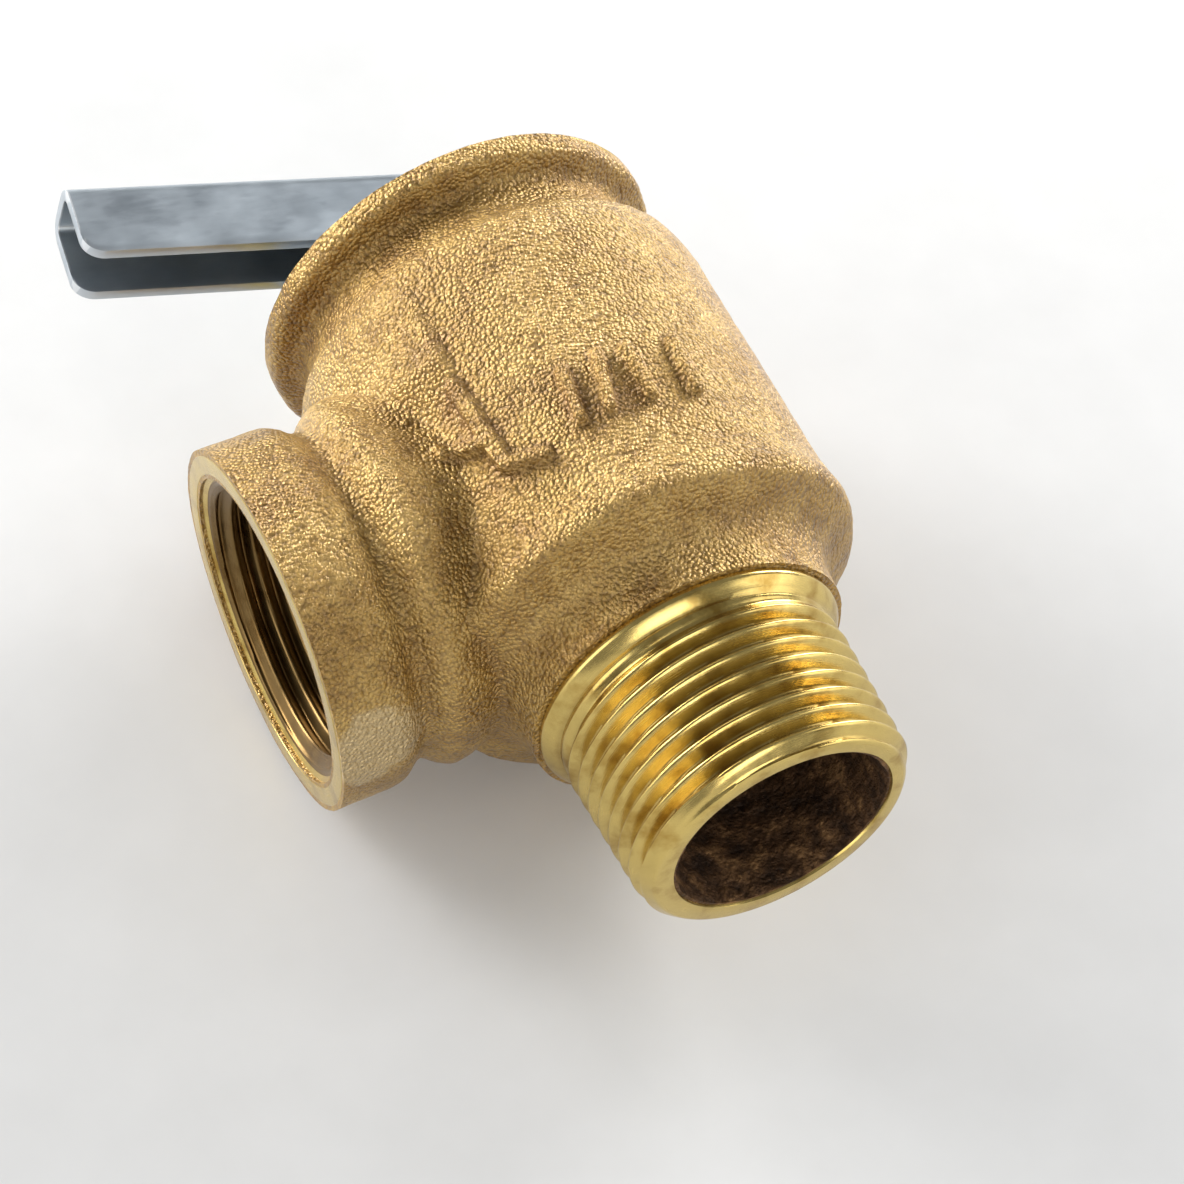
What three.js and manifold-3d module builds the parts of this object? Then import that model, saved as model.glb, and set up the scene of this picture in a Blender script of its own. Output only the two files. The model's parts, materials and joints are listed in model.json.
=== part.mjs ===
// Side-outlet pressure relief valve for a hot-water boiler, 3/4 inch pipe size.
// Millimetres. +Z runs up the valve's axis from the inlet's end face (z = 0),
// the outlet points along -X, and the test lever sticks out over the outlet.
import * as THREE from 'three';
import { mergeVertices } from 'three/addons/utils/BufferGeometryUtils.js';
import Module from 'manifold-3d';

const wasm = await Module();
wasm.setup();

const gap = 0.3;              // air left between pieces that touch
const round = 36;             // facets round the casting
const inner = 30;             // facets round the pieces inside it
const fine = 20;              // facets round the small ones

// ---- thread form shared by both ends (3/4-14 pipe thread) ----
const pitch = 25.4 / 14;
const taper = 1 / 32;         // growth of the radius per millimetre
const crestAtEnd = 13.02;     // crest radius at the inlet's end face
const threadDepth = 1.15;

// ---- casting ----
const inletBore = 9.9;
const threadTurns = 8;
const firstCrest = 1.7;
const collarStart = 15.9;
const collarEnd = 17.4;
const collarR = 14.4;
const bodyR = 19.6;
const topZ = 65;              // machined top face, under the bonnet
const outletZ = 37.3;         // height of the outlet's axis
const outletFace = 31.3;      // from the valve's axis to the outlet's face
const outletBossR = 16.6;
const outletMouth = 13.4;
const portR = 9.3;
const seatBoreR = 11.6;
const seatShelf = 24.7;
const chamberR = 14.6;
const chamberFloor = 27.6;
const webZ = 46.8;            // underside of the shelf that carries the diaphragm
const shelfZ = 48.8;
const webOpening = 11.2;
const bonnetBore = 13.8;

// ---- moving stack, bottom to top ----
const seatTop = 31.0;
const stemR = 2.2;
const stemTopR = 1.9;
const stemTop = 74.4;
const pinZ = 72.0;
const pinR = 1.1;

// ---- spring ----
const springLow = 48.2;
const springHigh = 61.0;
const wireR = 0.9;
const coilR = 8.0;
const coils = 4.6;

// ---- lever ----
const leverTilt = THREE.MathUtils.degToRad(9.4);   // free end up
const leverYaw = THREE.MathUtils.degToRad(14.4);   // turned off the outlet, towards -Y
const leverTop = 77.1;        // top of the web where it crosses the valve's axis
const leverReach = 32.8;
const leverHeel = 8.6;
const leverHalf = 3.2;
const leverDepth = 8.7;
const sheet = 1.0;

const bronze = { color: 0xb28a55, roughness: 0.55, metalness: 0.85 };
const brass = { color: 0xc9a45c, roughness: 0.3, metalness: 0.95 };
const zinc = { color: 0x9aa0a6, roughness: 0.35, metalness: 0.9 };
const steel = { color: 0xb4b6b8, roughness: 0.25, metalness: 0.95 };
const rubber = { color: 0x2a2725, roughness: 0.8, metalness: 0.0 };
const copper = { color: 0xb06a45, roughness: 0.4, metalness: 0.9 };
const fibre = { color: 0x6e5a48, roughness: 0.85, metalness: 0.0 };

const group = new THREE.Group();

function add(name, geometry, material) {
  const mesh = new THREE.Mesh(geometry, new THREE.MeshStandardMaterial(material));
  mesh.name = name;
  group.add(mesh);
}

// A turned shape about Z from [radius, z] pairs that close on the axis or on themselves.
function turned(pairs, facets = inner) {
  const points = pairs.map(([r, z]) => new THREE.Vector2(r, z));
  const g = new THREE.LatheGeometry(points, facets);
  return g.rotateX(Math.PI / 2);
}

// A ring of rectangular section.
function ring(inside, outer, low, high, facets = inner) {
  return turned([[inside, low], [outer, low], [outer, high], [inside, high], [inside, low]], facets);
}

function rod(radius, low, high, facets = fine) {
  return turned([[0, low], [radius, low], [radius, high], [0, high]], facets);
}

function solid(geometry) {
  const g = geometry.clone();
  g.deleteAttribute('normal');
  g.deleteAttribute('uv');
  const merged = mergeVertices(g, 1e-5);
  const index = merged.index.array;
  const faces = [];
  for (let i = 0; i < index.length; i += 3) {
    const [a, b, c] = [index[i], index[i + 1], index[i + 2]];
    if (a !== b && b !== c && a !== c) faces.push(a, b, c);
  }
  const made = new wasm.Manifold(new wasm.Mesh({
    numProp: 3,
    vertProperties: new Float32Array(merged.attributes.position.array),
    triVerts: new Uint32Array(faces),
  }));
  return made.volume() < 0 ? made.mirror([1, 0, 0]) : made;
}

function geometryOf(manifold) {
  const mesh = manifold.getMesh();
  const g = new THREE.BufferGeometry();
  g.setAttribute('position', new THREE.BufferAttribute(new Float32Array(mesh.vertProperties), 3));
  g.setIndex(new THREE.BufferAttribute(new Uint32Array(mesh.triVerts), 1));
  g.computeVertexNormals();
  return g;
}

// Turns a shape made about +Z so that its axis runs along -X at the outlet's height.
function alongOutlet(geometry) {
  return geometry.rotateY(-Math.PI / 2).translate(0, 0, outletZ);
}

// ---- valve body ----
const outside = [[0, 0], [11.9, 0]];
for (let k = 0; k < threadTurns; k += 1) {
  const z = firstCrest + k * pitch;
  outside.push([crestAtEnd + taper * z - (k === 0 ? 0.35 : 0), z]);
  outside.push([crestAtEnd + taper * z - threadDepth, z + pitch / 2]);
}
outside.push(
  [13.75, collarStart], [collarR, collarEnd - 0.6], [collarR, collarEnd],
  [14.8, collarEnd + 0.3], [14.9, 19.6], [15.6, 21.3], [17.1, 22.7], [18.8, 23.9],
  [bodyR - 0.15, 25.4], [bodyR, 28], [bodyR + 0.1, 44], [bodyR + 0.05, 52.5],
  [19.2, 55.2], [18.2, 57.4], [17.2, 59.2], [16.9, 60.7], [17.3, 61.9], [18.3, 62.6],
  [18.8, 63.6], [18.7, topZ], [0, topZ],
);

const outletOutside = [
  [0, 5], [14.4, 5], [14.6, 11], [15.4, 15.6], [16.4, 18.4], [16.6, 19.9], [16.0, 21.3],
  [15.2, 22.2], [15.3, 23.2], [16.1, 24.4], [16.5, 25.8], [outletBossR, 30.6],
  [outletBossR - 0.5, outletFace], [0, outletFace],
];

const inletCut = [
  [0, -2], [inletBore, -2], [inletBore, seatShelf], [seatBoreR, seatShelf],
  [seatBoreR, chamberFloor], [chamberR - 1, chamberFloor], [chamberR, chamberFloor + 1.2],
  [chamberR, webZ - 1.2], [webOpening, webZ], [webOpening, shelfZ], [bonnetBore, shelfZ],
  [bonnetBore, topZ + 2], [0, topZ + 2],
];

const outletCut = [[0, 4], [portR, 4], [portR, 16.2], [10.6, 17.8]];
for (let k = 0; k < 6; k += 1) {
  outletCut.push([11.6, 18.4 + k * pitch], [12.6, 18.4 + (k + 0.5) * pitch]);
}
outletCut.push([12.2, 29.4], [outletMouth, outletFace - 0.2], [outletMouth, outletFace + 2],
  [0, outletFace + 2]);

// Raised cast marks on the body's front: a flow arrow that comes up from the inlet and turns
// to the outlet, with three plain bars beside it. Each is a block cut to a thin shell.
function castMark(azimuthDeg, z, wide, high, turnDeg) {
  const block = new THREE.BoxGeometry(wide, 8, high);
  block.rotateY(THREE.MathUtils.degToRad(turnDeg));
  block.translate(0, -bodyR, 0);
  block.rotateZ(THREE.MathUtils.degToRad(azimuthDeg + 90));
  block.translate(0, 0, z);
  return solid(block);
}
const markShell = solid(rod(bodyR + 0.75, 28, 50, round));
const marks = [
  castMark(-119, 36.8, 1.5, 9.6, 0),
  castMark(-129, 40.4, 5.6, 1.5, 0),
  castMark(-113, 33.0, 3.4, 1.4, 0),
  castMark(-99, 36.0, 1.4, 5.6, 0),
  castMark(-87, 36.2, 1.4, 5.6, 0),
  castMark(-66, 35.8, 1.4, 5.6, 0),
].reduce((all, one) => all.add(one)).intersect(markShell);

const casting = solid(turned(outside, round))
  .add(solid(alongOutlet(turned(outletOutside, round))))
  .add(marks)
  .subtract(solid(turned(inletCut, round)))
  .subtract(solid(alongOutlet(turned(outletCut, round))));
add('valve_body', geometryOf(casting), bronze);

// ---- seat ----
add('seat_gasket', ring(inletBore, seatBoreR - gap, seatShelf + gap, seatShelf + 0.9), copper);
add('seat_ring', turned([
  [8.8, seatShelf + 1.2], [seatBoreR - gap, seatShelf + 1.2], [seatBoreR - gap, 28.6],
  [11.0, 29.2], [10.2, 29.6], [9.9, seatTop], [9.0, seatTop], [8.8, 30.6],
  [8.8, seatShelf + 1.2],
]), brass);

// ---- closing disc, its holder and the screw that keeps it ----
add('disc_screw', turned([
  [0, 28.7], [2.3, 28.7], [2.8, 29.1], [2.8, 30.1], [1.3, 30.1], [1.3, 35.2], [0, 35.2],
], fine), steel);
add('disc_washer', ring(1.6, 5.6, 30.4, 31.0, fine), steel);
add('seat_disc', ring(1.6, 10.4, 31.3, 33.4), rubber);
add('disc_holder', turned([
  [1.6, 33.7], [10.7, 33.7], [10.7, 32.0], [11.9, 32.0], [11.9, 34.6], [11.3, 35.4],
  [4.6, 35.9], [3.9, 36.8], [3.9, 41.6], [stemR + gap, 41.6], [stemR + gap, 35.5],
  [1.6, 35.5], [1.6, 33.7],
]), brass);

// ---- stem with the cross hole for the lever's pin ----
const stemTurned = solid(turned([
  [0, 35.8], [stemR, 35.8], [stemR, 60.5], [stemTopR, 60.9], [stemTopR, stemTop - 0.5],
  [stemTopR - 0.5, stemTop], [0, stemTop],
], fine));
function acrossLever(geometry) {
  return geometry.rotateX(Math.PI / 2).rotateZ(leverYaw).translate(0, 0, pinZ);
}
const pinHole = solid(acrossLever(rod(pinR + 0.15, -6, 6, 20)));
add('stem', geometryOf(stemTurned.subtract(pinHole)), steel);

// ---- diaphragm between its washer and the plate the spring stands on ----
add('lower_washer', ring(stemR + gap, 7.6, 41.9, 42.9, 32), steel);
add('diaphragm', turned([
  [stemR + gap, 43.2], [8.6, 43.2], [9.4, 43.6], [10.4, 47.9], [11.3, 49.1], [13.4, 49.1],
  [13.4, 49.9], [11.0, 49.9], [9.8, 48.6], [8.8, 44.1], [stemR + gap, 44.1],
  [stemR + gap, 43.2],
]), rubber);
add('pressure_plate', turned([
  [stemR + gap, 44.4], [7.6, 44.4], [8.3, 44.9], [8.3, 46.2], [9.2, 46.9], [9.2, 47.9],
  [6.7, 47.9], [6.7, 47.0], [stemR + gap, 47.0], [stemR + gap, 44.4],
]), zinc);
const nutShape = new THREE.CylinderGeometry(4.6, 4.6, 2.6, 6).rotateX(Math.PI / 2)
  .translate(0, 0, 48.6);
add('stem_nut', geometryOf(solid(nutShape).subtract(solid(rod(stemR + gap, 46, 52)))), brass);
add('clamp_sleeve', ring(12.0, bonnetBore - gap, 50.2, 59.9), zinc);

// ---- spring with closed ends ----
class SpringPath extends THREE.Curve {
  getPoint(t, target = new THREE.Vector3()) {
    const low = springLow + wireR;
    const high = springHigh - wireR;
    const flat = 0.16;         // share of the wire that lies flat at each end
    const rise = THREE.MathUtils.clamp((t - flat) / (1 - 2 * flat), 0, 1);
    const start = THREE.MathUtils.clamp(t / flat, 0, 1) * wireR * 1.1;
    const end = THREE.MathUtils.clamp((1 - t) / flat, 0, 1) * wireR * 1.1;
    const middle = (low + wireR * 1.1) + (high - low - 2.2 * wireR) * rise;
    const z = middle - (wireR * 1.1 - start) + (wireR * 1.1 - end);
    const turn = 2 * Math.PI * coils * t;
    return target.set(coilR * Math.cos(turn), coilR * Math.sin(turn), z);
  }
}
const wire = new THREE.Shape().absarc(0, 0, wireR, 0, 2 * Math.PI, false);
const spring = new THREE.ExtrudeGeometry(wire, {
  steps: 80, bevelEnabled: false, extrudePath: new SpringPath(), curveSegments: 4,
});
add('main_spring', geometryOf(solid(spring)), steel);
add('spring_seat', turned([
  [stemR + gap, 61.3], [9.6, 61.3], [9.6, 62.3], [6.0, 62.3], [5.2, 63.0], [stemR + gap, 63.0],
  [stemR + gap, 61.3],
], 36), zinc);

// ---- bonnet cap screwed into the top, with the set screw that loads the spring ----
add('cap_gasket', ring(bonnetBore + 0.2, 15.0, topZ + gap, topZ + 0.9), fibre);
add('bonnet_cap', turned([
  [6.5, 64.6], [10.4, 64.6], [10.4, 60.2], [bonnetBore - gap, 60.2], [bonnetBore - gap, 66.2],
  [15.0, 66.2], [15.2, 66.5], [15.2, 67.0], [14.8, 67.3], [6.5, 67.3], [6.5, 64.6],
]), zinc);
const setScrew = solid(turned([
  [3.1, 63.3], [5.6, 63.3], [6.2, 63.8], [6.2, 67.3], [3.1, 67.3], [3.1, 63.3],
], 32));
const driverSlot = solid(new THREE.BoxGeometry(14, 1.4, 2).translate(0, 0, 67.4)
  .rotateZ(leverYaw + Math.PI / 2));
add('set_screw', geometryOf(setScrew.subtract(driverSlot)), brass);
add('guide_bush', ring(stemTopR + gap, 2.8, 63.3, 66.2, fine), copper);

// ---- test lever: folded channel, open below, pinned to the stem ----
function leverFrame() {
  const along = new THREE.Vector3(
    -Math.cos(leverTilt) * Math.cos(leverYaw),
    -Math.cos(leverTilt) * Math.sin(leverYaw),
    Math.sin(leverTilt),
  );
  const across = new THREE.Vector3(0, 0, 1).cross(along).normalize();
  const up = along.clone().cross(across);
  const frame = new THREE.Matrix4().makeBasis(along, across, up);
  return frame.setPosition(0, 0, leverTop);
}

function channelSection() {
  const bend = 1.7;
  const s = new THREE.Shape();
  s.moveTo(-leverHalf, -leverDepth);
  s.lineTo(-leverHalf, -bend);
  s.absarc(-leverHalf + bend, -bend, bend, Math.PI, Math.PI / 2, true);
  s.lineTo(leverHalf - bend, 0);
  s.absarc(leverHalf - bend, -bend, bend, Math.PI / 2, 0, true);
  s.lineTo(leverHalf, -leverDepth);
  s.lineTo(leverHalf - sheet, -leverDepth);
  s.lineTo(leverHalf - sheet, -bend);
  s.absarc(leverHalf - bend, -bend, bend - sheet, 0, Math.PI / 2, false);
  s.lineTo(-leverHalf + bend, -sheet);
  s.absarc(-leverHalf + bend, -bend, bend - sheet, Math.PI / 2, Math.PI, false);
  s.lineTo(-leverHalf + sheet, -leverDepth);
  s.closePath();
  return s;
}

// Side view of the lever: rounded corners at the free end and a cam-shaped heel.
function leverSide() {
  const corner = 1.8;
  const heelR = 3.4;
  const s = new THREE.Shape();
  s.moveTo(leverReach, 1);
  s.lineTo(leverReach, -leverDepth + corner);
  s.absarc(leverReach - corner, -leverDepth + corner, corner, 0, -Math.PI / 2, true);
  s.lineTo(-leverHeel + heelR, -leverDepth);
  s.absarc(-leverHeel + heelR, -leverDepth + heelR, heelR, -Math.PI / 2, -Math.PI, true);
  s.lineTo(-leverHeel, 1);
  s.closePath();
  return s;
}

const channel = new THREE.ExtrudeGeometry(channelSection(), {
  depth: leverReach + leverHeel + 2, bevelEnabled: false, curveSegments: 5,
});
// section x, y and extrusion run along the lever's across, up and along directions
channel.applyMatrix4(new THREE.Matrix4().makeBasis(
  new THREE.Vector3(0, 1, 0), new THREE.Vector3(0, 0, 1), new THREE.Vector3(1, 0, 0)));
channel.translate(-leverHeel - 1, 0, 0);
const side = new THREE.ExtrudeGeometry(leverSide(), {
  depth: 2 * leverHalf + 2, bevelEnabled: false, curveSegments: 6,
});
side.rotateX(Math.PI / 2).translate(0, leverHalf + 1, 0);
const leverBlank = solid(channel).intersect(solid(side));
const leverPlaced = leverBlank.transform(leverFrame().elements);
add('lever', geometryOf(leverPlaced.subtract(pinHole)), zinc);

// ---- pin through the lever and the stem, headed at one end and clipped at the other ----
add('lever_pin', acrossLever(turned([
  [0, -4.4], [1.7, -4.4], [2.0, -4.1], [2.0, -3.5], [pinR, -3.5], [pinR, 4.6], [0, 4.6],
], 20)), steel);
add('pin_clip', acrossLever(ring(pinR + 0.1, 2.1, 3.5, 4.1, 20)), steel);

export default group;
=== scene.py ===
# Pressure relief valve: the visible finish of every piece, in metres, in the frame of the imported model.
import json
import math

import bmesh
import bpy
from mathutils import Matrix, Vector, noise


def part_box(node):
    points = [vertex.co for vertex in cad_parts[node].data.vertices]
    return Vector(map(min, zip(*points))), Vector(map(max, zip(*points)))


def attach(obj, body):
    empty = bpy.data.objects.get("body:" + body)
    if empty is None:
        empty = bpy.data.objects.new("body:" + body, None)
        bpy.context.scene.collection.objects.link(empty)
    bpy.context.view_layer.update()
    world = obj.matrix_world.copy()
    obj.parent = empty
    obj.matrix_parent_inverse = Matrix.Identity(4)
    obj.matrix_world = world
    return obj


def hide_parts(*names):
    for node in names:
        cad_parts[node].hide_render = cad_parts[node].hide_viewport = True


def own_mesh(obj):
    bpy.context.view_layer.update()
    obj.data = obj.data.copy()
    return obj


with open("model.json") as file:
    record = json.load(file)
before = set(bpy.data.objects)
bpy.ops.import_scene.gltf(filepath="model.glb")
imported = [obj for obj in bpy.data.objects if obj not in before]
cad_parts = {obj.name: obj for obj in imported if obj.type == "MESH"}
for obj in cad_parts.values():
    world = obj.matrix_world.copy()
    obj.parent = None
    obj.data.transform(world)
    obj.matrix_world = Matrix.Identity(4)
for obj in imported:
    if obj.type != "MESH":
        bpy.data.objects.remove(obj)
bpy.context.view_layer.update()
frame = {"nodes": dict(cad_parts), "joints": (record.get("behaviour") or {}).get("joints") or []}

MM = 0.001

# ---- dimensions in millimetres: Z runs up the valve's axis, the outlet points along -X ----
BODY_R = 19.6
TOP_Z = 65.0
OUTLET_Z = 37.3
OUTLET_FACE = 31.3
INLET_BORE = 9.9
PITCH = 25.4 / 14
TAPER = 1 / 32
CREST_AT_END = 13.02
THREAD_DEPTH = 1.15
FIRST_CREST = 1.7
THREAD_END = 15.6
COLLAR_R = 14.4
COLLAR_END = 17.4
OUTLET_R = 16.6
CHAMBER_R = 14.6
PORT_R = 9.3
BONNET_BORE = 13.8
SHELF_LOW = 46.8              # underside of the shelf that carries the diaphragm
SHELF_TOP = 48.8
CUT_BACK = 0.05               # the casting stops this far short of the machined faces
GATE_SPOT = Vector((-28.0, -2.5, OUTLET_Z - OUTLET_R))    # where the casting gate was ground off
SHEET = 1.0
LEVER_TILT = math.radians(9.4)
LEVER_YAW = math.radians(14.4)
LEVER_TOP = 77.1
LEVER_REACH = 32.8
LEVER_HEEL = 8.6
LEVER_HALF = 3.2
LEVER_DEPTH = 8.7
PIN_Z = 72.0
PIN_R = 1.1


def outlet_place(unit):
    """Turns a shape made about +Z so that its axis runs along -X at the outlet's height."""
    return Matrix.Translation((0, 0, OUTLET_Z * unit)) @ Matrix.Rotation(math.radians(-90), 4, "Y")


to_outlet = outlet_place(MM)
lever_pivot = Matrix.Translation((0, 0, PIN_Z * MM)) @ Matrix.Rotation(LEVER_YAW, 4, "Z")
across_lever = lever_pivot @ Matrix.Rotation(math.radians(90), 4, "X")


# ---------------------------------------------------------------- materials
class Graph:
    """A node material whose textures all use object coordinates."""

    def __init__(self, name):
        self.material = bpy.data.materials.new(name)
        self.material.use_nodes = True
        self.tree = self.material.node_tree
        self.tree.nodes.clear()
        self.output = self.node("ShaderNodeOutputMaterial")
        self.shader = self.node("ShaderNodeBsdfPrincipled")
        self.link(self.shader, "BSDF", self.output, "Surface")
        self.coord = self.node("ShaderNodeTexCoord")

    def node(self, kind, **settings):
        made = self.tree.nodes.new(kind)
        for key, value in settings.items():
            setattr(made, key, value)
        return made

    def link(self, source, out, target, into):
        self.tree.links.new(source.outputs[out], target.inputs[into])

    def points(self, stretch, turn=(0, 0, 0)):
        """Object coordinates, scaled and turned."""
        mapped = self.node("ShaderNodeMapping")
        mapped.inputs["Scale"].default_value = stretch
        mapped.inputs["Rotation"].default_value = turn
        self.link(self.coord, "Object", mapped, "Vector")
        return mapped

    def texture(self, kind, size_mm, source=None):
        made = self.node(kind)
        made.inputs["Scale"].default_value = 1 / (size_mm * MM)
        if source is None:
            self.link(self.coord, "Object", made, "Vector")
        else:
            self.link(source, "Vector", made, "Vector")
        return made

    def noise(self, size_mm, detail=3, roughness=0.55, source=None):
        made = self.texture("ShaderNodeTexNoise", size_mm, source)
        made.inputs["Detail"].default_value = detail
        made.inputs["Roughness"].default_value = roughness
        return made.outputs[0]

    def cells(self, size_mm):
        """Distance to the middle of the nearest cell."""
        return self.texture("ShaderNodeTexVoronoi", size_mm).outputs["Distance"]

    def math(self, operation, a, b=None):
        made = self.node("ShaderNodeMath", operation=operation)
        for k, value in enumerate((a, b)):
            if isinstance(value, (int, float)):
                made.inputs[k].default_value = value
            elif value is not None:
                self.tree.links.new(value, made.inputs[k])
        return made.outputs[0]

    def scaled(self, value, factor):
        return self.math("MULTIPLY", value, factor)

    def spread(self, value, low, high, to_low=0.0, to_high=1.0):
        """The value's range from low to high, spread over another range and kept inside it."""
        made = self.node("ShaderNodeMapRange")
        self.tree.links.new(value, made.inputs["Value"])
        made.inputs["From Min"].default_value = low
        made.inputs["From Max"].default_value = high
        made.inputs["To Min"].default_value = to_low
        made.inputs["To Max"].default_value = to_high
        return made.outputs["Result"]

    def ramp(self, value, stops):
        made = self.node("ShaderNodeValToRGB")
        ramp = made.color_ramp
        while len(ramp.elements) < len(stops):
            ramp.elements.new(0.5)
        for element, (place, colour) in zip(ramp.elements, stops):
            element.position = place
            element.color = (*colour, 1)
        self.tree.links.new(value, made.inputs["Fac"])
        return made.outputs["Color"]

    def mix(self, share, a, b, blend="MIX"):
        made = self.node("ShaderNodeMix", data_type="RGBA", blend_type=blend)
        factor, first, second = made.inputs[0], made.inputs[6], made.inputs[7]    # the colour sockets
        for socket, value in ((factor, share), (first, a), (second, b)):
            if isinstance(value, (int, float)):
                socket.default_value = value
            elif isinstance(value, tuple):
                socket.default_value = (*value, 1)
            else:
                self.tree.links.new(value, socket)
        return made.outputs[2]

    def pointiness(self):
        return self.node("ShaderNodeNewGeometry").outputs["Pointiness"]

    def bump(self, height, depth_mm, strength=1.0, under=None):
        made = self.node("ShaderNodeBump")
        made.inputs["Strength"].default_value = strength
        made.inputs["Distance"].default_value = depth_mm * MM
        self.tree.links.new(height, made.inputs["Height"])
        if under is not None:
            self.tree.links.new(under, made.inputs["Normal"])
        return made.outputs["Normal"]

    def finish(self, colour, rough, normal, metallic, **sockets):
        links = self.tree.links
        links.new(colour, self.shader.inputs["Base Color"])
        links.new(rough, self.shader.inputs["Roughness"])
        links.new(normal, self.shader.inputs["Normal"])
        self.shader.inputs["Metallic"].default_value = metallic
        for name, value in sockets.items():
            self.shader.inputs[name.replace("_", " ")].default_value = value
        return self.material


def cast_bronze():
    g = Graph("cast_bronze")
    broad = g.noise(13, 2)
    patch = g.noise(2.6, 3)
    grain = g.noise(0.27, 2, 0.6)
    sand = g.cells(0.37)
    tone = g.math("ADD", g.scaled(broad, 0.5), g.scaled(patch, 0.5))
    colour = g.ramp(tone, [(0.32, (0.23, 0.125, 0.030)), (0.47, (0.375, 0.23, 0.060)),
                           (0.62, (0.49, 0.325, 0.10))])
    # lighter specks on the fine grain: partly the cast grain's own tone, partly a painted glint
    grain_tone_and_glint = g.spread(grain, 0.35, 0.68)
    colour = g.mix(grain_tone_and_glint, colour, g.mix(1.0, colour, (1.25, 1.2, 1.1), "MULTIPLY"))
    # painted shade in the sand pits, where the bump sinks the surface
    painted_pit_shade = g.spread(sand, 0.45, 0.85)
    colour = g.mix(g.scaled(painted_pit_shade, 0.5), colour, (0.12, 0.06, 0.018))
    # painted shade: darker where the surface is hollow (low pointiness)
    painted_hollow_shade = g.spread(g.pointiness(), 0.44, 0.50, 1.0, 0.0)
    colour = g.mix(g.scaled(painted_hollow_shade, 0.55), colour, (0.16, 0.075, 0.022))
    # ground-off remnant of the casting gate under the outlet
    away = g.node("ShaderNodeVectorMath", operation="DISTANCE")
    g.link(g.coord, "Object", away, 0)
    away.inputs[1].default_value = GATE_SPOT * MM
    ragged = g.math("ADD", away.outputs["Value"], g.scaled(patch, 0.005))
    gate = g.spread(ragged, 0.0066, 0.0076, 1.0, 0.0)
    colour = g.mix(g.scaled(gate, 0.8), colour, (0.60, 0.45, 0.23))
    rough = g.spread(g.math("ADD", grain, patch), 0.7, 1.3, 0.30, 0.52)
    height = g.math("SUBTRACT", g.scaled(grain, 0.8), g.scaled(sand, 1.1))
    lumps = g.bump(patch, 0.25, 0.4)
    normal = g.bump(height, 0.20, 1.0, lumps)
    g.tree.links.new(normal, g.shader.inputs["Coat Normal"])
    return g.finish(colour, rough, normal, 0.72, Coat_Weight=0.45, Coat_Roughness=0.2)


# The inlet's rough cast wall: its own rough tone, darkened as painted shade for the inside of the bore.
def rough_bore():
    g = Graph("cast_bore_painted_shade")
    patch = g.noise(2.6, 5, 0.65)
    grain = g.noise(0.5, 3, 0.6)
    colour = g.ramp(patch, [(0.36, (0.035, 0.018, 0.009)), (0.52, (0.13, 0.065, 0.027)),
                                       (0.68, (0.38, 0.21, 0.085))])
    rough = g.spread(grain, 0.3, 0.7, 0.5, 0.75)
    normal = g.bump(grain, 0.4, 0.9, g.bump(patch, 0.8, 0.8))
    return g.finish(colour, rough, normal, 0.6)


def machined_brass(name, tint, rough):
    """Brass with fine turning lines that run round the axis of the piece."""
    g = Graph(name)
    split = g.node("ShaderNodeSeparateXYZ")
    g.link(g.coord, "Object", split, 0)
    squares = [g.math("POWER", split.outputs[k], 2.0) for k in (0, 1)]
    radius = g.math("SQRT", g.math("ADD", *squares))
    along = g.math("ADD", split.outputs[2], g.scaled(radius, 0.83))
    profile_place = g.node("ShaderNodeCombineXYZ")
    g.tree.links.new(along, profile_place.inputs[2])
    lines = g.noise(0.11, 2, 0.6, profile_place)
    stain = g.noise(3.5, 5, 0.6)
    deep = tuple(c * f for c, f in zip(tint, (0.62, 0.52, 0.36)))
    colour = g.ramp(stain, [(0.3, deep), (0.5, tint),
                                       (0.75, tuple(min(1, c * 1.1) for c in tint))])
    # painted shade: darker where the surface is hollow (low pointiness)
    painted_hollow_shade = g.spread(g.pointiness(), 0.40, 0.50, 1.0, 0.0)
    colour = g.mix(g.scaled(painted_hollow_shade, 0.6), colour, (0.20, 0.105, 0.028))
    roughness = g.spread(g.math("ADD", lines, stain), 0.7, 1.3, *rough)
    normal = g.bump(lines, 0.012, 0.6, g.bump(stain, 0.10, 0.35))
    return g.finish(colour, roughness, normal, 0.95)


def zinc_plate():
    g = Graph("zinc_plate")
    spangle = g.cells(2.2)
    cloud = g.noise(6, 4)
    drawn = g.noise(0.5, 4, 0.6, g.points((0.05, 1.0, 1.0), (0, 0, -LEVER_YAW)))
    tone = g.math("ADD", g.scaled(cloud, 0.7), g.scaled(drawn, 0.3))
    colour = g.ramp(tone, [(0.25, (0.31, 0.355, 0.40)), (0.75, (0.44, 0.49, 0.53))])
    colour = g.mix(g.scaled(spangle, 0.12), colour, (0.60, 0.64, 0.68))
    worn = g.spread(g.pointiness(), 0.52, 0.58)
    colour = g.mix(g.scaled(worn, 0.6), colour, (0.86, 0.87, 0.88))
    rough = g.spread(tone, 0.35, 0.65, 0.30, 0.42)
    normal = g.bump(drawn, 0.015, 0.5, g.bump(cloud, 0.05, 0.2))
    return g.finish(colour, rough, normal, 0.9)


def bright_steel():
    g = Graph("bright_steel")
    cloud = g.noise(2.5, 4)
    lines = g.noise(0.2, 2, 0.6, g.points((0.08, 0.08, 1)))
    colour = g.ramp(cloud, [(0.35, (0.36, 0.36, 0.37)), (0.6, (0.58, 0.58, 0.59))])
    rough = g.spread(lines, 0.3, 0.7, 0.2, 0.36)
    return g.finish(colour, rough, g.bump(lines, 0.01, 0.6), 0.95)


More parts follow.
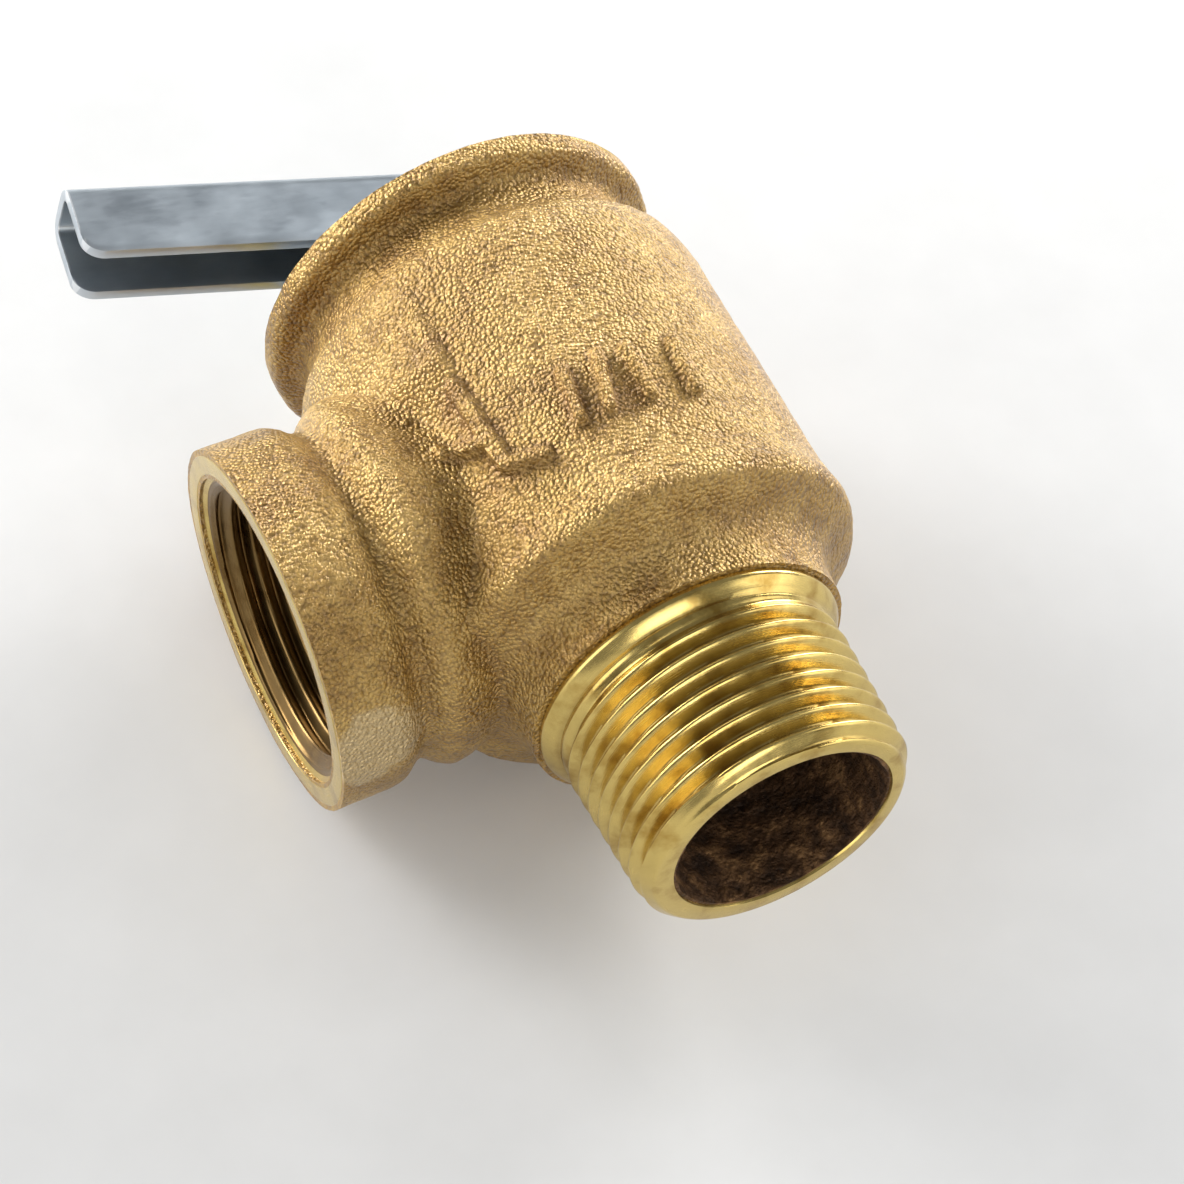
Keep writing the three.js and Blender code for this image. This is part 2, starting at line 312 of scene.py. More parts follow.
def soft_rubber():
    g = Graph("soft_rubber")
    bloom = g.noise(2.2, 4)
    grain = g.noise(0.25, 2)
    colour = g.ramp(bloom, [(0.35, (0.016, 0.015, 0.014)), (0.7, (0.045, 0.042, 0.04))])
    rough = g.spread(grain, 0.3, 0.7, 0.6, 0.85)
    return g.finish(colour, rough, g.bump(grain, 0.03, 0.6), 0.0)


def dull_copper():
    g = Graph("dull_copper")
    stain = g.noise(2.0, 4)
    colour = g.ramp(stain, [(0.35, (0.26, 0.10, 0.05)), (0.6, (0.55, 0.25, 0.14))])
    rough = g.spread(stain, 0.3, 0.7, 0.3, 0.5)
    return g.finish(colour, rough, g.bump(stain, 0.05, 0.5), 0.95)


def pressed_fibre():
    g = Graph("pressed_fibre")
    strands = g.noise(0.8, 5, 0.7, g.points((1, 1, 6)))
    colour = g.ramp(strands, [(0.35, (0.10, 0.065, 0.04)), (0.65, (0.24, 0.17, 0.11))])
    rough = g.spread(strands, 0.3, 0.7, 0.75, 0.92)
    return g.finish(colour, rough, g.bump(strands, 0.08, 0.7), 0.0)


bronze = cast_bronze()
bore_skin_painted_shade = rough_bore()
brass = machined_brass("machined_brass", (0.64, 0.475, 0.155), (0.14, 0.30))
worn_brass = machined_brass("worn_brass", (0.55, 0.38, 0.14), (0.26, 0.46))
# a darker copy of the machined brass: painted shade for the inside of the outlet's thread
brass_painted_inner_shade = machined_brass("brass_painted_shade", (0.20, 0.125, 0.045), (0.22, 0.42))
zinc = zinc_plate()
steel = bright_steel()
rubber = soft_rubber()
copper = dull_copper()
fibre = pressed_fibre()


# ---------------------------------------------------------------- mesh helpers, in millimetres
def mesh_from(name, points, faces):
    mesh = bpy.data.meshes.new(name)
    mesh.from_pydata([tuple(p) for p in points], [], [tuple(f) for f in faces])
    made = bmesh.new()
    made.from_mesh(mesh)
    bmesh.ops.recalc_face_normals(made, faces=made.faces[:])
    made.to_mesh(mesh)
    made.free()
    return mesh


def grid_of_revolution(rows, facets, closed, shape=None):
    """Points and faces of a surface turned about Z from (radius, z) rows."""
    points, index = [], []
    for j, (r, z) in enumerate(rows):
        if r < 1e-6:
            index.append([len(points)] * facets)
            points.append((0, 0, z))
            continue
        index.append([len(points) + k for k in range(facets)])
        for k in range(facets):
            a = 2 * math.pi * k / facets
            points.append(shape(r, z, a, j) if shape else (r * math.cos(a), r * math.sin(a), z))
    faces = []
    for j in range(len(rows) if closed else len(rows) - 1):
        low, high = index[j], index[(j + 1) % len(rows)]
        for k in range(facets):
            n = (k + 1) % facets
            corners = [low[k], low[n], high[n], high[k]]
            face = [c for i, c in enumerate(corners) if c != corners[i - 1]]
            if len(set(face)) >= 3:
                faces.append(face)
    return points, faces


def softened(rows, radius, closed):
    """The profile with each corner rounded off by about that radius."""
    out = []
    count = len(rows)
    for j, (r, z) in enumerate(rows):
        if not closed and j in (0, count - 1):
            out.append((r, z))
            continue
        here = Vector((r, z))
        before, after = Vector(rows[j - 1]), Vector(rows[(j + 1) % count])
        into, away = before - here, after - here
        cut = min(radius, into.length * 0.4, away.length * 0.4)
        if into.length < 1e-6 or away.length < 1e-6 or into.angle(away) > math.radians(172):
            out.append((r, z))
            continue
        first, last = here + into.normalized() * cut, here + away.normalized() * cut
        for t in (0, 0.25, 0.5, 0.75, 1):
            bent = first.lerp(here, t).lerp(here.lerp(last, t), t)
            out.append((bent.x, bent.y))
    return out


def turned_mesh(name, rows, facets=96, soft=0.15):
    closed = rows[0] == rows[-1]
    rows = rows[:-1] if closed else rows
    rows = softened(rows, soft, closed) if soft else rows
    return mesh_from(name, *grid_of_revolution(rows, facets, closed))


def evaluated(obj):
    """The object's mesh with its modifiers applied; the object is removed."""
    deps = bpy.context.evaluated_depsgraph_get()
    mesh = bpy.data.meshes.new_from_object(obj.evaluated_get(deps))
    mesh.name = obj.name
    bpy.data.objects.remove(obj)
    return mesh


def linked(name, mesh):
    obj = bpy.data.objects.new(name, mesh)
    bpy.context.scene.collection.objects.link(obj)
    return obj


def joined(*meshes):
    made = bmesh.new()
    for mesh in meshes:
        made.from_mesh(mesh)
    out = bpy.data.meshes.new("joined")
    made.to_mesh(out)
    made.free()
    return out


def cut(mesh, cutter):
    body, tool = linked("work", mesh), linked("cutter", cutter)
    step = body.modifiers.new("cut", "BOOLEAN")
    step.operation = "DIFFERENCE"
    step.solver = "MANIFOLD"
    step.object = tool
    out = evaluated(body)
    bpy.data.objects.remove(tool)
    return out


def piece(name, mesh, body, material, replaces=(), place=None, crease=38):
    """Puts a millimetre mesh in the scene in metres, riding on a CAD body."""
    mesh.transform(Matrix.Scale(MM, 4))
    mesh.shade_smooth()
    mesh.set_sharp_from_angle(angle=math.radians(crease))
    mesh.materials.clear()
    mesh.materials.append(material)
    obj = linked(name, mesh)
    if place is not None:
        obj.matrix_world = place
    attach(obj, body)
    if replaces:
        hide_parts(*replaces)
    return obj


# ---------------------------------------------------------------- camera, lights, floor
VIEW_TURN = math.radians(17.54)     # the view's heading, from +Y towards +X
VIEW_RISE = math.radians(29.41)     # the camera looks upward by this
VIEW_ROLL = math.radians(-30.36)    # and is rolled by this
VIEW_DISTANCE = 398 * MM
LENS = 136.82
SENSOR = 36

heading = Vector((math.sin(VIEW_TURN), math.cos(VIEW_TURN), 0))
level = Vector((math.cos(VIEW_TURN), -math.sin(VIEW_TURN), 0))
AHEAD = heading * math.cos(VIEW_RISE) + Vector((0, 0, math.sin(VIEW_RISE)))
RIGHT = level * math.cos(VIEW_ROLL) + level.cross(AHEAD) * math.sin(VIEW_ROLL)
UP = RIGHT.cross(AHEAD)
AIM = Vector((-2.76, 2.77, 30.51)) * MM

camera_data = bpy.data.cameras.new("camera")
camera_data.lens = LENS
camera_data.sensor_width = SENSOR
camera = linked("camera", camera_data)
facing_view = Matrix((RIGHT, UP, -AHEAD)).transposed().to_4x4()
camera.matrix_world = Matrix.Translation(AIM - AHEAD * VIEW_DISTANCE) @ facing_view
bpy.context.scene.camera = camera

FLOOR_TILT = math.radians(5.65)    # the valve lies on its body and on the outlet's rim
FLOOR_UP = Vector((math.sin(FLOOR_TILT), -math.cos(FLOOR_TILT), 0))
FLOOR_GAP = 21.0 * MM              # from the valve's axis to the floor
FLOOR_HALF = 3.0
VALVE_MIDDLE = Vector((-3, 0, 35)) * MM


def light(name, side, rise, toward, distance, size, power):
    """A soft square lamp, placed from the aim point along the view's right, up and backward axes."""
    away = (RIGHT * side + UP * rise - AHEAD * toward).normalized()
    data = bpy.data.lights.new(name, "AREA")
    data.shape = "SQUARE"
    data.size = size
    data.energy = power
    lamp = linked(name, data)
    lamp.location = AIM + away * distance
    lamp.rotation_euler = (-away).to_track_quat("-Z", "Y").to_euler()


light("key", -0.82, 0.55, 0.02, 0.8, 0.42, 8.0)
light("top", 0.60, 0.76, -0.26, 0.9, 0.45, 9.0)
light("right", 0.92, 0.05, 0.20, 0.9, 0.6, 2.2)
light("back", -0.45, 0.85, -0.20, 0.8, 0.4, 2.0)
light("front", 0.35, -0.45, 0.8, 1.1, 0.6, 4.0)
light("left", -0.80, -0.08, 0.59, 0.9, 0.6, 2.8)

world = bpy.data.worlds.new("studio")
world.use_nodes = True
bpy.context.scene.world = world
backdrop = world.node_tree.nodes["Background"]
backdrop.inputs["Color"].default_value = (0.93, 0.94, 0.95, 1)
# the half of the studio behind the floor is paler, so that views from there have a pale ground
sky = world.node_tree.nodes.new("ShaderNodeTexCoord")
over = world.node_tree.nodes.new("ShaderNodeVectorMath")
over.operation = "DOT_PRODUCT"
over.inputs[1].default_value = FLOOR_UP
strength = world.node_tree.nodes.new("ShaderNodeMapRange")
strength.inputs["From Min"].default_value = -0.3
strength.inputs["From Max"].default_value = 0.0
strength.inputs["To Min"].default_value = 0.80
strength.inputs["To Max"].default_value = 0.25
world.node_tree.links.new(sky.outputs["Generated"], over.inputs[0])
world.node_tree.links.new(over.outputs["Value"], strength.inputs["Value"])
world.node_tree.links.new(strength.outputs["Result"], backdrop.inputs["Strength"])
bpy.context.scene.view_settings.view_transform = "Standard"


def make_floor():
    """A pale sheet that is clear from behind, so that the back of the valve can be seen."""
    g = Graph("floor_paper")
    speckle = g.noise(9, 3)
    colour = g.ramp(speckle, [(0.3, (0.74, 0.74, 0.733)), (0.7, (0.77, 0.77, 0.764))])
    rough = g.spread(speckle, 0.3, 0.7, 0.85, 0.95)
    g.finish(colour, rough, g.bump(speckle, 0.05, 0.1), 0.0)
    facing = g.node("ShaderNodeNewGeometry")
    clear = g.node("ShaderNodeBsdfTransparent")
    pick = g.node("ShaderNodeMixShader")
    g.link(facing, "Backfacing", pick, "Fac")
    g.tree.links.new(g.shader.outputs["BSDF"], pick.inputs[1])
    g.tree.links.new(clear.outputs[0], pick.inputs[2])
    g.link(pick, "Shader", g.output, "Surface")
    mesh = bpy.data.meshes.new("floor")
    side = FLOOR_UP.orthogonal().normalized() * FLOOR_HALF
    other = FLOOR_UP.cross(side)
    middle = VALVE_MIDDLE - FLOOR_UP * (VALVE_MIDDLE.dot(FLOOR_UP) + FLOOR_GAP)
    corners = [middle + side * a + other * b for a, b in ((-1, -1), (1, -1), (1, 1), (-1, 1))]
    mesh.from_pydata([tuple(c) for c in corners], [], [(0, 1, 2, 3)])
    mesh.materials.append(g.material)
    floor = linked("floor", mesh)
    if mesh.polygons[0].normal.dot(FLOOR_UP) < 0:
        mesh.flip_normals()


make_floor()


# ---------------------------------------------------------------- cast body
MARK_HEIGHT = 0.9
# Raised cast marks on the front, from end to end as (azimuth in degrees, z), with half the width:
# a flow arrow that comes up from the inlet and turns to the outlet, then four plain bars.
MARKS = [
    ((-121.5, 42.6), (-120.0, 33.8), 0.6), ((-120.0, 33.4), (-110.5, 32.2), 0.5),
    ((-121.0, 36.2), (-147.0, 40.6), 0.4), ((-148.0, 41.0), (-139.5, 36.8), 0.35),
    ((-148.0, 41.0), (-137.5, 42.6), 0.35),
    ((-98.5, 33.6), (-96.5, 38.6), 0.35), ((-90.5, 33.4), (-86.5, 39.0), 0.35),
    ((-79.0, 33.4), (-79.0, 38.6), 0.4), ((-66.5, 33.2), (-65.5, 38.4), 0.5),
]


def unrolled(azimuth, z):
    """A place on the body's side as millimetres round it and up it."""
    return Vector((azimuth * BODY_R, z))


STROKES = [(unrolled(math.radians(a0), z0), unrolled(math.radians(a1), z1), half)
           for (a0, z0), (a1, z1), half in MARKS]


def clamped(value):
    return max(0.0, min(1.0, value))


def mark_height(point):
    here = unrolled(math.atan2(point.y, point.x), point.z)
    ragged = 0.10 * noise.noise(point * 0.7)
    height = 0.0
    for start, end, half in STROKES:
        run = end - start
        t = max(0, min(1, (here - start).dot(run) / run.length_squared))
        away = (here - start - run * t).length
        away += ragged
        share = clamped((half + 0.42 - away) / 0.5)
        height = max(height, share * share * (3 - 2 * share))
    return MARK_HEIGHT * height


def shoulder_height(point, radial):
    """The flatter shoulder that runs from the outlet's neck up to the rim."""
    azimuth = math.degrees(math.atan2(point.y, point.x))
    first, last, low, high, reach = -165, -118, 42.5, 57.5, BODY_R + 3
    if not (first < azimuth < last and low < point.z < high and radial < reach):
        return 0.0
    share = min(1, (high - point.z) / 12) * min(1, (point.z - low) / 3.5)
    share *= min(1, (last - azimuth) / 2.5) * min(1, (reach - radial) / 2)
    return 0.9 * share


def cast_blank():
    """The body and the outlet's branch as one rounded skin, before any machining."""
    barrel = [
        (0, 15.6), (14.9, 15.6), (15.0, 17.5), (15.1, 19.6), (15.6, 21.2),
        (16.7, 22.4), (18.3, 23.1), (19.8, 23.9), (20.15, 25.0), (19.95, 26.3),
        (19.65, 28.2), (19.8, 44), (19.8, 52.5),
        (19.6, 54.8), (19.1, 56.8), (17.8, 57.6), (17.1, 59.0), (16.6, 60.6), (16.5, 61.8),
        (17.1, 62.5), (18.7, 62.9), (19.1, 63.6), (18.95, TOP_Z + 2), (0, TOP_Z + 2),
    ]
    branch = [
        (0, 5), (14.4, 5), (14.7, 11), (15.5, 15.6), (16.6, 18.4), (16.8, 19.9), (16.1, 21.3),
        (15.1, 22.2), (15.2, 23.2), (16.3, 24.4), (16.75, 25.8), (16.8, OUTLET_FACE + 2),
        (0, OUTLET_FACE + 2),
    ]
    upright = turned_mesh("barrel", barrel, 128, 0)
    side = turned_mesh("branch", branch, 128, 0)
    side.transform(outlet_place(1))
    work = linked("work", joined(upright, side))
    remesh = work.modifiers.new("skin", "REMESH")
    remesh.mode = "VOXEL"
    remesh.voxel_size = 0.33
    smooth = work.modifiers.new("fillets", "SMOOTH")
    smooth.factor = 0.5
    smooth.iterations = 11
    return evaluated(work)


def roughen(mesh):
    """Adds the casting's lumps, its marks, the shoulder and the flat where the gate was ground off."""
    places = [v.co.copy() for v in mesh.vertices]
    normals = [v.vector.copy() for v in mesh.vertex_normals]
    flat = GATE_SPOT + Vector((0, 0, 0.2))
    facing = Vector((0.0, -0.15, -1.0)).normalized()
    sunk = 0.05
    moved = []
    for p, n in zip(places, normals):
        radial = math.hypot(p.x, p.y)
        lumps = 0.11 * noise.noise(p * 0.16) + 0.07 * noise.noise(p * 0.45)
        lumps += 0.045 * noise.noise(p * 1.1)
        if p.y < 0 and 29 < p.z < 46 and abs(radial - BODY_R) < 1.2 and n.xy.length > 0.8:
            lumps += mark_height(p)
        lumps += shoulder_height(p, radial)
        p = p + n * lumps
        proud = (p - flat).dot(facing)
        if proud > -sunk and (p - flat).length < 5:
            p -= facing * (proud + sunk)
        moved += p[:]
    mesh.vertices.foreach_set("co", moved)
    mesh.update()


def cast_body_mesh():
    mesh = cast_blank()
    roughen(mesh)
    clear = 60                # wider than the casting
    above = [(0, TOP_Z - CUT_BACK), (clear, TOP_Z - CUT_BACK), (clear, TOP_Z + 20), (0, TOP_Z + 20)]
    below = [(0, -10), (clear, -10), (clear, COLLAR_END - CUT_BACK), (0, COLLAR_END - CUT_BACK)]
    for rows in (above, below):
        mesh = cut(mesh, turned_mesh("tool", rows, 64, 0))
    inside = [
        (0, 5), (INLET_BORE + 0.6, 5), (INLET_BORE + 0.6, 24.6), (11.7, 24.6), (11.7, 27.6),
        (CHAMBER_R - 1, 27.6), (CHAMBER_R, 28.8), (CHAMBER_R, SHELF_LOW - 1.2),
        (11.2, SHELF_LOW), (11.2, SHELF_TOP),
        (BONNET_BORE + 0.1, SHELF_TOP), (BONNET_BORE + 0.1, TOP_Z + 4), (0, TOP_Z + 4),
    ]
    mesh = cut(mesh, turned_mesh("tool", inside, 96, 0.4))
    mouth = turned_mesh("tool", [
        (0, 4), (PORT_R, 4), (PORT_R, 16.2), (11, 17.5), (14.2, 17.5), (14.2, OUTLET_FACE - CUT_BACK),
        (clear, OUTLET_FACE - CUT_BACK), (clear, OUTLET_FACE + 20), (0, OUTLET_FACE + 20),
    ], 96, 0)
    mouth.transform(outlet_place(1))
    return cut(mesh, mouth)


piece("cast_body", cast_body_mesh(), "housing", bronze, ["valve_body"], crease=50)


# ---------------------------------------------------------------- threaded ends and machined top
STEPS_PER_TURN = 14           # rows of points in each turn of thread
BORE_SHIFT = 0.35             # the inlet's cast bore is off centre by this


def thread_share(z, angle, start):
    """0 where a right-hand thread is widest and 1 where it is narrowest, both slightly flat."""
    turn = (z - start) / PITCH - angle / (2 * math.pi)
    off = turn - math.floor(turn)
    return clamped((2 * min(off, 1 - off) - 0.10) / 0.82)


def around(r, angle, z, shift=0):
    return (r * math.cos(angle) + shift, r * math.sin(angle), z)


def inlet_thread_mesh():
    low, run_out = 0.12, 2.1
    steps = int(THREAD_END / PITCH * STEPS_PER_TURN)
    inner_rows = [(10.5, 17.9), (10.3, 0.4), (10.45, 0.05), (11.75, 0.0)]
    on_bore, lowest = 3, len(inner_rows)
    highest = lowest + steps
    collar_rows = [(13.75, 15.9), (14.3, 16.6), (COLLAR_R, 16.75), (COLLAR_R, 17.3),
                   (14.25, COLLAR_END), (13.6, COLLAR_END + 0.5)]
    thread_rows = [(1, low + (THREAD_END - low) * j / steps) for j in range(steps + 1)]

    def shape(r, z, a, j):
        if j < lowest:
            return around(r, a, z, BORE_SHIFT if j < on_bore else 0)
        if j <= highest:
            fade = clamped((THREAD_END - z) / run_out)
            crest = CREST_AT_END + TAPER * z
            r = crest - THREAD_DEPTH * fade * thread_share(z, a, FIRST_CREST) - 0.35 * (1 - fade)
            r = min(r, 11.9 + z * 0.95)    # the chamfer at the inlet's end
        return around(r, a, z)

    rows = inner_rows + thread_rows + collar_rows
    return mesh_from("inlet_thread", *grid_of_revolution(rows, 144, True, shape))


def inlet_bore_mesh():
    """The rough cast wall inside the inlet, with a skin behind it."""
    count, step = 69, 0.35
    rows = [(INLET_BORE + 0.1, 0.25 + step * j) for j in range(count)]
    top = rows[-1][1]
    rows += [(10.45, top), (10.45, 0.3)]

    def shape(r, z, a, j):
        if j < count:
            here = Vector((math.cos(a) * 3.2, math.sin(a) * 3.2, z * 0.32))
            r += 0.16 * noise.noise(here) + 0.10 * noise.noise(here * 2.7)
            r += 0.15 * max(0.0, 1 - z / 0.8)    # the worn lip at the inlet's end
        return around(r, a, z, BORE_SHIFT)

    return mesh_from("inlet_bore_wall", *grid_of_revolution(rows, 128, True, shape))


def outlet_thread_mesh():
    first, last = 17.2, 30.6
    root_r, depth, crest_r, backing = 13.25, 1.1, 12.2, 14.6
    steps = int((last - first) / PITCH * STEPS_PER_TURN)
    rows = [(11.6, first)] + [(1, first + 0.05 + (last - first) * j / steps) for j in range(steps + 1)]
    highest = len(rows) - 1
    rows += [(backing, last), (backing, first)]

    def shape(r, z, a, j):
        if 0 < j <= highest:
            r = root_r - depth * thread_share(z, a, first) - TAPER * (last - z)
            r = max(r, crest_r + max(0.0, z - 29.6) * 1.1)    # opens out at the outlet's face
        return around(r, a, z)

    return mesh_from("outlet_thread", *grid_of_revolution(rows, 144, True, shape))


piece("inlet_thread", inlet_thread_mesh(), "housing", brass, ["valve_body"], crease=60)
piece("inlet_bore_wall", inlet_bore_mesh(), "housing", bore_skin_painted_shade, ["valve_body"])
piece("outlet_thread", outlet_thread_mesh(), "housing", brass_painted_inner_shade, ["valve_body"],
      place=to_outlet, crease=60)
piece("outlet_rim", turned_mesh("rim", [
    (13.25, 30.3), (14.25, OUTLET_FACE - 0.35), (14.45, OUTLET_FACE - 0.35), (14.6, OUTLET_FACE),
    (16.2, OUTLET_FACE), (16.4, OUTLET_FACE - 0.12), (16.3, OUTLET_FACE - 0.35), (15.0, 30.2),
    (13.25, 30.3),
], 144, 0.06), "housing", brass, ["valve_body"], place=to_outlet)
piece("machined_top", turned_mesh("machined_top", [
    (BONNET_BORE, 62.5), (BONNET_BORE, TOP_Z - 0.25), (BONNET_BORE + 0.25, TOP_Z), (18.75, TOP_Z),
    (19.05, TOP_Z - 0.25), (18.9, TOP_Z - 0.45), (17.5, TOP_Z - 0.6), (14.6, 62.5), (BONNET_BORE, 62.5),
], 128, 0.05), "housing", brass, ["valve_body"])


# ---------------------------------------------------------------- pieces seen through the openings
def ring_rows(inside, outer, low, high):
    return [(inside, low), (outer, low), (outer, high), (inside, high), (inside, low)]


def turned_piece(name, rows, body, material, node, facets=96, soft=0.15, place=None):
    return piece(name, turned_mesh(name, rows, facets, soft), body, material, [node], place)


turned_piece("seat_ring_turned", [
    (8.8, 25.9), (11.3, 25.9), (11.3, 28.6), (11.0, 29.2), (10.2, 29.6), (9.9, 31.0),
    (9.0, 31.0), (8.8, 30.6), (8.8, 25.9),
], "housing", worn_brass, "seat_ring")
turned_piece("disc_screw_turned", [
    (0, 28.7), (2.3, 28.7), (2.8, 29.1), (2.8, 30.1), (1.3, 30.1), (1.3, 35.2), (0, 35.2),
], "stem_and_disc", steel, "disc_screw", 48, 0.12)
turned_piece("disc_washer_turned", ring_rows(1.6, 5.6, 30.4, 31.0),
             "stem_and_disc", steel, "disc_washer", 72, 0.1)
turned_piece("seat_disc_moulded", ring_rows(1.6, 10.4, 31.3, 33.4),
             "stem_and_disc", rubber, "seat_disc", 96, 0.2)
turned_piece("disc_holder_turned", [
    (1.6, 33.7), (10.7, 33.7), (10.7, 32.0), (11.9, 32.0), (11.9, 34.6), (11.3, 35.4),
    (4.6, 35.9), (3.9, 36.8), (3.9, 41.6), (2.5, 41.6), (2.5, 35.5), (1.6, 35.5), (1.6, 33.7),
], "stem_and_disc", worn_brass, "disc_holder")
turned_piece("stem_turned", [
    (0, 35.8), (2.2, 35.8), (2.2, 60.5), (1.9, 60.9), (1.9, 73.9), (1.4, 74.4), (0, 74.4),
], "stem_and_disc", steel, "stem", 48)


# ---------------------------------------------------------------- spring and diaphragm
def spring_mesh():
    """A round wire wound into an open coil whose two ends lie nearly flat."""
    low, high = (v.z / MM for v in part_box("main_spring"))
    wire, coil, turns = 0.9, 8.0, 4.6
    steps, sides = 360, 14
    flat = 0.16               # share of the wire in each closed end
    end_rise = wire * 1.1
    bottom, top = low + wire, high - wire
    points, faces = [], []
    for i in range(steps + 1):
        t = i / steps
        rise = min(1, max(0, (t - flat) / (1 - 2 * flat)))
        start = min(1, t / flat) * end_rise
        end = min(1, (1 - t) / flat) * end_rise
        z = bottom + (top - bottom - 2.2 * wire) * rise + start + (end_rise - end)
        turn = 2 * math.pi * turns * t
        for k in range(sides):
            b = 2 * math.pi * k / sides
            points.append(around(coil + wire * math.cos(b), turn, z + wire * math.sin(b)))
    for i in range(steps):
        for k in range(sides):
            a, n = i * sides, (k + 1) % sides
            faces.append((a + k, a + n, a + sides + n, a + sides + k))
    faces.append(tuple(range(sides)))
    faces.append(tuple(steps * sides + k for k in range(sides)))
    return mesh_from("spring", points, faces)


lift = next(j for j in frame["joints"] if j["name"] == "stem_lift")
travel = max(lift["range_m"])
fixed_end = {n["node"]: n["fixed_end_z_m"] for n in lift["deforming_nodes"]}


def squash_with_lift(obj):
    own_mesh(obj)


spring = piece("spring_wound", spring_mesh(), "housing", steel, ["main_spring"])
squash_with_lift(spring)
diaphragm = turned_piece("diaphragm_moulded", [
    (2.5, 43.2), (8.6, 43.2), (9.4, 43.6), (10.4, 47.9), (11.3, 49.1), (13.4, 49.1),
    (13.4, 49.9), (11.0, 49.9), (9.8, 48.6), (8.8, 44.1), (2.5, 44.1), (2.5, 43.2),
], "housing", rubber, "diaphragm", 96, 0.3)
squash_with_lift(diaphragm)


# ---------------------------------------------------------------- bonnet cap and its screw
turned_piece("bonnet_cap_pressed", [
    (6.5, 64.6), (10.4, 64.6), (10.4, 60.2), (13.5, 60.2), (13.5, 66.2), (15.0, 66.2),
    (15.2, 66.5), (15.2, 67.0), (14.8, 67.3), (6.5, 67.3), (6.5, 64.6),
], "housing", zinc, "bonnet_cap", 128, 0.25)


def set_screw_mesh():
    """A threaded plug with a driver's slot across its top, square to the lever."""
    plug = turned_mesh("set", [
        (3.1, 63.3), (5.6, 63.3), (6.2, 63.8), (6.2, 67.3), (3.1, 67.3), (3.1, 63.3),
    ], 72, 0.15)
    half_slot, half_length = 0.7, 8
    corners = [(x, y, z) for x in (-half_length, half_length) for y in (-half_slot, half_slot)
               for z in (66.4, 69)]
    blade = mesh_from("blade", corners, [(0, 1, 3, 2), (4, 6, 7, 5), (0, 4, 5, 1),
                                         (2, 3, 7, 6), (0, 2, 6, 4), (1, 5, 7, 3)])
    blade.transform(Matrix.Rotation(LEVER_YAW + math.pi / 2, 4, "Z"))
    return cut(plug, blade)


piece("set_screw_slotted", set_screw_mesh(), "housing", worn_brass, ["set_screw"])


# ---------------------------------------------------------------- test lever, pin and clip
FOLD = 1.9                    # radius of the two folds along the lever
TIP_CORNER = 2.0              # radius of the sides' corners at the free end
HEEL_CORNER = 3.4             # and at the heel
TIP_START = LEVER_REACH - TIP_CORNER


def lever_places():
    """Where the lever is cut into sections, from heel to tip, closer together at both ends."""
    heel_steps, web_steps, tip_steps = 12, 24, 10
    places = [-LEVER_HEEL + HEEL_CORNER * (1 - math.cos(math.pi / 2 * k / heel_steps))
              for k in range(heel_steps + 1)]
    start = places[-1]
    places += [start + (TIP_START - start) * k / web_steps for k in range(1, web_steps + 1)]
    places += [TIP_START + TIP_CORNER * math.sin(math.pi / 2 * k / tip_steps)
               for k in range(1, tip_steps + 1)]
    return places


def side_depth(x):
    """How far the lever's sides reach down at a place along it."""
    if x > TIP_START:
        return LEVER_DEPTH - TIP_CORNER + math.sqrt(max(0, TIP_CORNER ** 2 - (x - TIP_START) ** 2))
    if x < -LEVER_HEEL + HEEL_CORNER:
        back = -LEVER_HEEL + HEEL_CORNER - x
        return LEVER_DEPTH - HEEL_CORNER + math.sqrt(max(0, HEEL_CORNER ** 2 - back ** 2))
    return LEVER_DEPTH


def channel_section(deep):
    """Outer face of the channel as (y, z): up one side, round the fold, and down the other side."""
    side_steps, fold_steps = 6, 7
    half = [(-LEVER_HALF, -deep + (deep - FOLD) * k / side_steps) for k in range(side_steps + 1)]
    for k in range(1, fold_steps + 1):
        a = math.pi - math.pi / 2 * k / fold_steps
        half.append((-LEVER_HALF + FOLD + FOLD * math.cos(a), -FOLD + FOLD * math.sin(a)))
    return half + [(0, 0)] + [(-y, z) for y, z in reversed(half)]


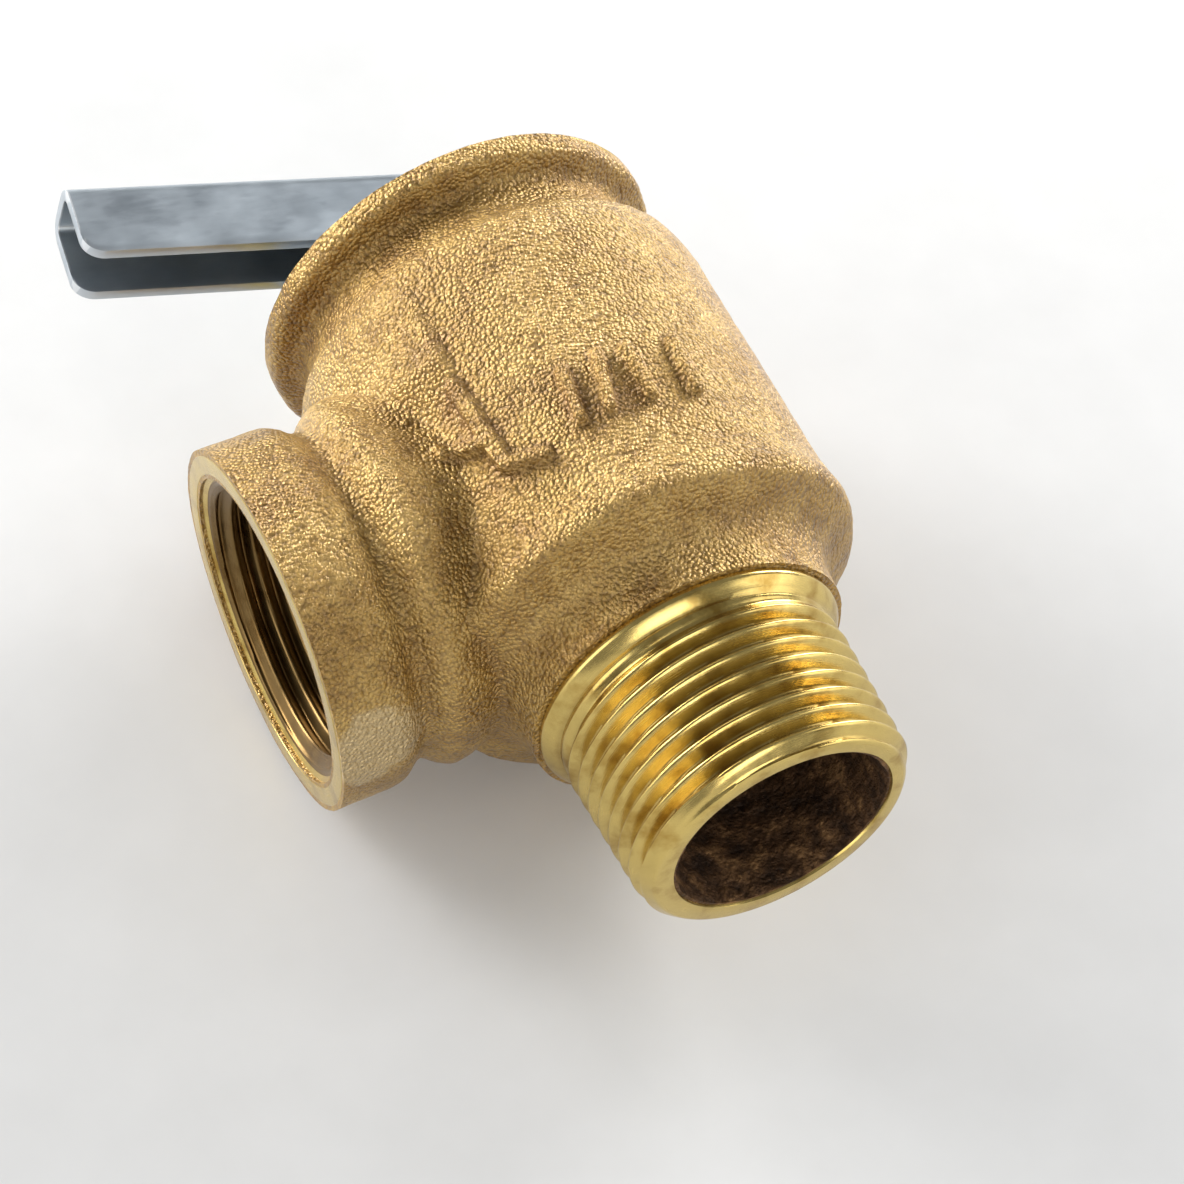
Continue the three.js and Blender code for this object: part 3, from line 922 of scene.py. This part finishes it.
def lever_mesh():
    """A sheet folded into a channel, open underneath, with eased edges."""
    places = lever_places()
    sections = [channel_section(side_depth(x)) for x in places]
    row = len(sections[0])
    points = [(x, y, z) for x, section in zip(places, sections) for y, z in section]
    faces = [(i * row + k, i * row + k + 1, (i + 1) * row + k + 1, (i + 1) * row + k)
             for i in range(len(places) - 1) for k in range(row - 1)]
    mesh = bpy.data.meshes.new("lever_folded")
    mesh.from_pydata(points, [], faces)
    work = linked("work", mesh)
    thick = work.modifiers.new("sheet", "SOLIDIFY")
    thick.thickness = SHEET
    thick.offset = -1 if mesh.polygons[len(faces) // 2].normal.z > 0 else 1
    thick.use_even_offset = True
    ease = work.modifiers.new("edges", "BEVEL")
    ease.width = 0.14
    ease.segments = 2
    ease.limit_method = "ANGLE"
    ease.angle_limit = math.radians(50)
    out = evaluated(work)
    along = Vector((-math.cos(LEVER_TILT) * math.cos(LEVER_YAW),
                    -math.cos(LEVER_TILT) * math.sin(LEVER_YAW), math.sin(LEVER_TILT)))
    across = Vector((0, 0, 1)).cross(along).normalized()
    facing = Matrix((along, across, along.cross(across))).transposed().to_4x4()
    out.transform(Matrix.Translation((0, 0, LEVER_TOP)) @ facing)
    return out


piece("lever_folded", lever_mesh(), "test_lever", zinc, ["lever"], crease=35)
turned_piece("lever_pin_turned", [
    (0, -4.4), (1.7, -4.4), (2.0, -4.1), (2.0, -3.5), (PIN_R, -3.5), (PIN_R, 4.6), (0, 4.6),
], "stem_and_disc", steel, "lever_pin", 40, 0.15, across_lever)
turned_piece("pin_clip_sprung", ring_rows(PIN_R + 0.05, 2.1, 3.5, 4.1),
             "stem_and_disc", steel, "pin_clip", 40, 0.12, across_lever)


# ---------------------------------------------------------------- CAD pieces that keep their shape
KEPT = {
    "seat_gasket": copper, "lower_washer": steel, "pressure_plate": zinc, "stem_nut": worn_brass,
    "clamp_sleeve": zinc, "spring_seat": zinc, "cap_gasket": fibre, "guide_bush": copper,
}
for node, material in KEPT.items():
    mesh = frame["nodes"][node].data
    mesh.materials.clear()
    mesh.materials.append(material)
